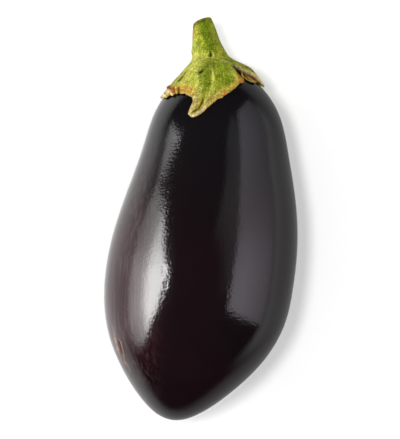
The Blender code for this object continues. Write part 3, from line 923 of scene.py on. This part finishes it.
def fleshyLeaf():
    material, tree = startMaterial("fleshy calyx leaf")
    place = addNode(tree, "TexCoord").outputs["Object"]
    grain = addNode(tree, "Attribute", {"attribute_name": "grain"}).outputs["Vector"]
    colour = addNode(tree, "Attribute", {"attribute_name": "paint"}).outputs["Color"]
    pattern = {}
    for name, (size, detail, roughness, strength, tones) in calyxFinish["tones"].items():
        # the fibres lie along the grain, and the rest is even all over
        vector, unit = (grain, 1) if name == "fibre" else (place, mm)
        pattern[name] = addNode(tree, "TexNoise", inputs={
            "Vector": vector, "Scale": 1 / (size * unit), "Detail": detail,
            "Roughness": roughness}).outputs["Fac"]
        tone = addNode(tree, "ValToRGB", inputs={"Fac": pattern[name]}, stops=[
            (at, (*tint, 1.0)) for at, tint in tones])
        colour = addNode(tree, "Mix", {"data_type": "RGBA", "blend_type": "MULTIPLY"}, {
            0: strength, 6: colour, 7: tone.outputs["Color"]}).outputs[2]
    # pale pores, which the dry and dark parts have lost
    pores = addNode(tree, "TexVoronoi", inputs={
        "Vector": place, "Scale": 1 / (calyxFinish["poreSize"] * mm), "Randomness": 1.0})
    inside, outside = calyxFinish["poreRange"]
    speck = addNode(tree, "ValToRGB", inputs={"Fac": pores.outputs["Distance"]}, stops=[
        (inside, grey(1.0)), (outside, grey(0.0))]).outputs["Color"]
    brightness = addNode(tree, "RGBToBW", inputs={"Color": colour})
    dead, fresh = calyxFinish["poreTissue"]
    alive = addNode(tree, "MapRange", inputs={
        "Value": brightness.outputs["Val"], "From Min": dead, "From Max": fresh,
        "To Min": 0.0, "To Max": calyxFinish["poreCover"]})
    specks = addNode(tree, "Math", {"operation": "MULTIPLY"}, {
        0: speck, 1: alive.outputs["Result"]})
    spotted = addNode(tree, "Mix", {"data_type": "RGBA"}, {
        0: specks.outputs["Value"], 6: colour, 7: linearColour(calyxFinish["pore"])})
    relief = addNode(tree, "Math", {"operation": "ADD"}, {
        0: pattern["fibre"], 1: pattern["mottle"]})
    raised = addNode(tree, "Math", {"operation": "MULTIPLY_ADD"}, {
        0: speck, 1: calyxFinish["poreHeight"], 2: relief.outputs["Value"]})
    bump = addNode(tree, "Bump", inputs={
        "Height": raised.outputs["Value"], "Strength": 1.0,
        "Distance": calyxFinish["relief"] * mm})
    surface = addNode(tree, "BsdfPrincipled", inputs={
        "Base Color": spotted.outputs[2], "Roughness": calyxFinish["roughness"],
        "IOR": calyxFinish["ior"], "Specular IOR Level": calyxFinish["specular"],
        "Normal": bump.outputs["Normal"]})
    addNode(tree, "OutputMaterial", inputs={"Surface": surface.outputs["BSDF"]})
    return material


# The studio: a white floor, a big soft box on the left, a white card with a dim wall above it
# on the right, and three small lamps. The panels are what the wax mirrors, and the lamps light
# what is matt. Places are metres.

studio = {
    "floorSize": 8.0,
    "floorColour": "#f7f7f7",
    "floorSteps": [  # (name, measure, from, to, value at the first, value at the second)
        ("left", "X", -0.95, -0.78, 0.7, 0),
        ("near", "away", 0.13, 0.5, 1, 0),
        ("level", "X", -0.7, 0.4, 0.75, 0.26),
        ("right", "X", 0.5, 0.9, 0, 1),
        ("deeper", "away", 0.07, 0.5, 0.27, 0.65),
        ("far", "away", 0.22, 0.8, 0, 1),
    ],
    "softBox": [(-0.672, 0.155, 0.946), (-1.655, 1.16, 0.946), (-2.26, 1.48, 0.0),
                (-1.2, -1.06, 0.0)],
    "softBoxTint": (1.0, 0.99, 0.985),
    "softBoxLight": [(0, 2.6), (0.139, 3.8), (0.242, 4.8), (0.342, 6.6), (0.438, 13.0),
                     (0.52, 17), (0.766, 17)],  # (height as a sine, radiance)
    "softBoxFade": [(-0.54, 0.0), (-0.45, 0.7), (-0.3, 0.92), (-0.1, 1.0), (0.17, 1.0),
                    (0.3, 0.78), (0.43, 0.62), (0.52, 0.7), (0.57, 1.15)],  # (sine along Y, share)
    "card": [(0.7, -0.27, 1.0), (0.98, 1.57, 1.0), (1.6, 2.15, 0.0), (1.45, -0.62, 0.0)],
    "cardTint": (0.98, 0.93, 1.03),
    "cardLight": [(0, 0.9), (0.139, 1.2), (0.342, 1.6), (0.53, 2.05), (0.616, 2.25), (0.8, 2.2)],
    "cardFade": [(-0.05, 1.0), (0.4, 0.54)],
    "wall": [(0.37, -0.05, 1.1), (0.15, 0.34, 1.1), (0.75, 1.55, 1.1), (1.35, -0.3, 1.1)],
    "wallTint": (0.96, 0.96, 1.0),
    "wallLight": [(0.6, 0.44), (0.78, 0.36), (0.87, 0.24), (0.935, 0.0)],
    "wallFade": [(-0.12, 0.0), (0.04, 0.9), (0.5, 1.0), (0.62, 0.7)],
    "lamps": [  # (name, place, size across, watts)
        ("sideKey", (-1.2, 0.3, 1.0), 1.1, 8),
        ("leftTop", (-0.235, 0.07, 1.58), 0.22, 10),
        ("overhead", (0.02, 0.0, 1.6), 0.1, 9),
    ],
    "fill": 0.42,
}


def panel(name, corners, tint, light, fade):
    # a panel that only reflections see. Its light follows the height and the side at which
    # the fruit sees it.
    deselectAll()
    bpy.ops.mesh.primitive_plane_add(size=1)
    piece = bpy.context.object
    piece.name = name
    for corner, place in zip((0, 1, 3, 2), corners):
        piece.data.vertices[corner].co = place
    material, tree = startMaterial(name + " light")
    place = addNode(tree, "TexCoord").outputs["Object"]
    sight = addNode(tree, "VectorMath", {"operation": "SUBTRACT"}, {
        0: place, 1: (0, 0, spineHeight(0) * mm)})
    sight = addNode(tree, "VectorMath", {"operation": "NORMALIZE"}, {0: sight.outputs["Vector"]})
    split = addNode(tree, "SeparateXYZ", inputs={"Vector": sight.outputs["Vector"]})
    most = max(value for _, value in light)
    height = addNode(tree, "ValToRGB", inputs={"Fac": split.outputs["Z"]}, stops=[
        (sine, grey(value / most)) for sine, value in light])
    # a sine runs from -1 to 1, and a ramp from 0 to 1
    across = addNode(tree, "Math", {"operation": "MULTIPLY_ADD"}, {
        0: split.outputs["Y"], 1: 0.5, 2: 0.5})
    side = addNode(tree, "ValToRGB", inputs={"Fac": across.outputs["Value"]}, stops=[
        (0.5 + sine / 2, grey(share)) for sine, share in fade])
    power = addNode(tree, "Math", {"operation": "MULTIPLY"}, {
        0: height.outputs["Color"], 1: side.outputs["Color"]})
    power = addNode(tree, "Math", {"operation": "MULTIPLY"}, {0: power.outputs["Value"], 1: most})
    glow = addNode(tree, "Emission", inputs={
        "Color": (*tint, 1.0), "Strength": power.outputs["Value"]})
    addNode(tree, "OutputMaterial", inputs={"Surface": glow.outputs["Emission"]})
    piece.data.materials.append(material)
    for ray in ("camera", "diffuse", "transmission", "shadow"):
        setattr(piece, "visible_" + ray, False)


def areaLight(name, place, size, power):
    data = bpy.data.lights.new(name, "AREA")
    data.shape = "DISK"
    data.size = size
    data.energy = power
    light = bpy.data.objects.new(name, data)
    bpy.context.scene.collection.objects.link(light)
    light.location = place
    aim = -light.location
    light.rotation_euler = aim.to_track_quat("-Z", "Y").to_euler()
    light.visible_glossy = False


def floorPaper():
    # white paper. Reflections see it at a painted brightness: painted light on the left and near
    # the fruit, and painted shade on the right, for the fruit's shadow there and the dark room
    # behind it.
    material, tree = startMaterial("white floor paper")
    place = addNode(tree, "TexCoord").outputs["Object"]
    away = addNode(tree, "VectorMath", {"operation": "LENGTH"}, {0: place})
    sight = addNode(tree, "VectorMath", {"operation": "NORMALIZE"}, {0: place})
    split = addNode(tree, "SeparateXYZ", inputs={"Vector": sight.outputs["Vector"]})
    measures = {"X": split.outputs["X"], "away": away.outputs["Value"]}
    step = {}
    for name, measure, first, last, start, end in studio["floorSteps"]:
        step[name] = addNode(tree, "MapRange", {"interpolation_type": "SMOOTHSTEP"}, {
            "Value": measures[measure], "From Min": first, "From Max": last,
            "To Min": start, "To Max": end}).outputs["Result"]
    right = addNode(tree, "Math", {"operation": "MULTIPLY"}, {
        0: step["right"], 1: step["deeper"]}).outputs["Value"]
    most = addNode(tree, "Math", {"operation": "MULTIPLY"}, {
        0: step["near"], 1: step["level"]}).outputs["Value"]
    for other in (right, step["left"]):
        most = addNode(tree, "Math", {"operation": "MAXIMUM"}, {
            0: most, 1: other}).outputs["Value"]
    # painted light and shade: glossy rays see the paper at the painted brightness above
    path = addNode(tree, "LightPath")
    colour = addNode(tree, "Mix", {"data_type": "RGBA"}, {
        0: path.outputs["Is Glossy Ray"], 6: linearColour(studio["floorColour"]), 7: most})
    paper = addNode(tree, "BsdfDiffuse", inputs={"Color": colour.outputs[2]})
    # far from the fruit the paper sweeps up into the white of the room
    sweep = addNode(tree, "Math", {"operation": "MULTIPLY"}, {
        0: step["far"], 1: path.outputs["Is Camera Ray"]})
    white = addNode(tree, "Emission", inputs={"Color": grey(1.0), "Strength": 1.0})
    surface = addNode(tree, "MixShader", inputs={
        0: sweep.outputs["Value"], 1: paper.outputs["BSDF"], 2: white.outputs["Emission"]})
    addNode(tree, "OutputMaterial", inputs={"Surface": surface.outputs["Shader"]})
    return material


def makeStudio():
    deselectAll()
    bpy.ops.mesh.primitive_plane_add(size=studio["floorSize"], location=(0, 0, 0))
    floor = bpy.context.object
    floor.name = "studioFloor"
    floor.data.materials.append(floorPaper())
    for name in ("softBox", "card", "wall"):
        panel(name, studio[name], studio[name + "Tint"], studio[name + "Light"],
              studio[name + "Fade"])
    for lamp in studio["lamps"]:
        areaLight(*lamp)
    makeWorld()


def makeWorld():
    # white to look at, soft fill on matt surfaces, and dark to reflections above the panels
    world = bpy.data.worlds.new("studioRoom")
    bpy.context.scene.world = world
    world.use_nodes = True
    tree = world.node_tree
    tree.nodes.clear()
    path = addNode(tree, "LightPath")
    seen = addNode(tree, "Math", {"operation": "MAXIMUM"}, {
        0: path.outputs["Is Camera Ray"], 1: studio["fill"]})
    matt = addNode(tree, "Math", {"operation": "SUBTRACT"}, {
        0: 1.0, 1: path.outputs["Is Glossy Ray"]})
    power = addNode(tree, "Math", {"operation": "MULTIPLY"}, {
        0: seen.outputs["Value"], 1: matt.outputs["Value"]})
    back = addNode(tree, "Background", inputs={
        "Color": grey(1.0), "Strength": power.outputs["Value"]})
    addNode(tree, "OutputWorld", inputs={"Surface": back.outputs["Background"]})


camera = {
    "place": (-0.002, 0.01425, 1.348),  # metres, straight above, with the stem at the top
    "lens": 213.2,
    "sensor": 36,
    "clip": (0.05, 50),  # metres
}


def makeCamera():
    data = bpy.data.cameras.new("topCamera")
    data.lens = camera["lens"]
    data.sensor_width = camera["sensor"]
    data.clip_start, data.clip_end = camera["clip"]
    eye = bpy.data.objects.new("topCamera", data)
    bpy.context.scene.collection.objects.link(eye)
    eye.location = camera["place"]
    bpy.context.scene.camera = eye
    bpy.context.scene.view_settings.view_transform = "Standard"


makeCamera()
skin = makeFruit()
skin.data.materials.append(waxySkin())
handIn(skin, "fruit")
cap = makeCalyx()
workCalyx(cap)
print("calyx marked:", len(calyxMarks), "strokes")
cap.data.materials.append(fleshyLeaf())
handIn(cap, "calyx_and_stem")
makeStudio()
print("studio ready")
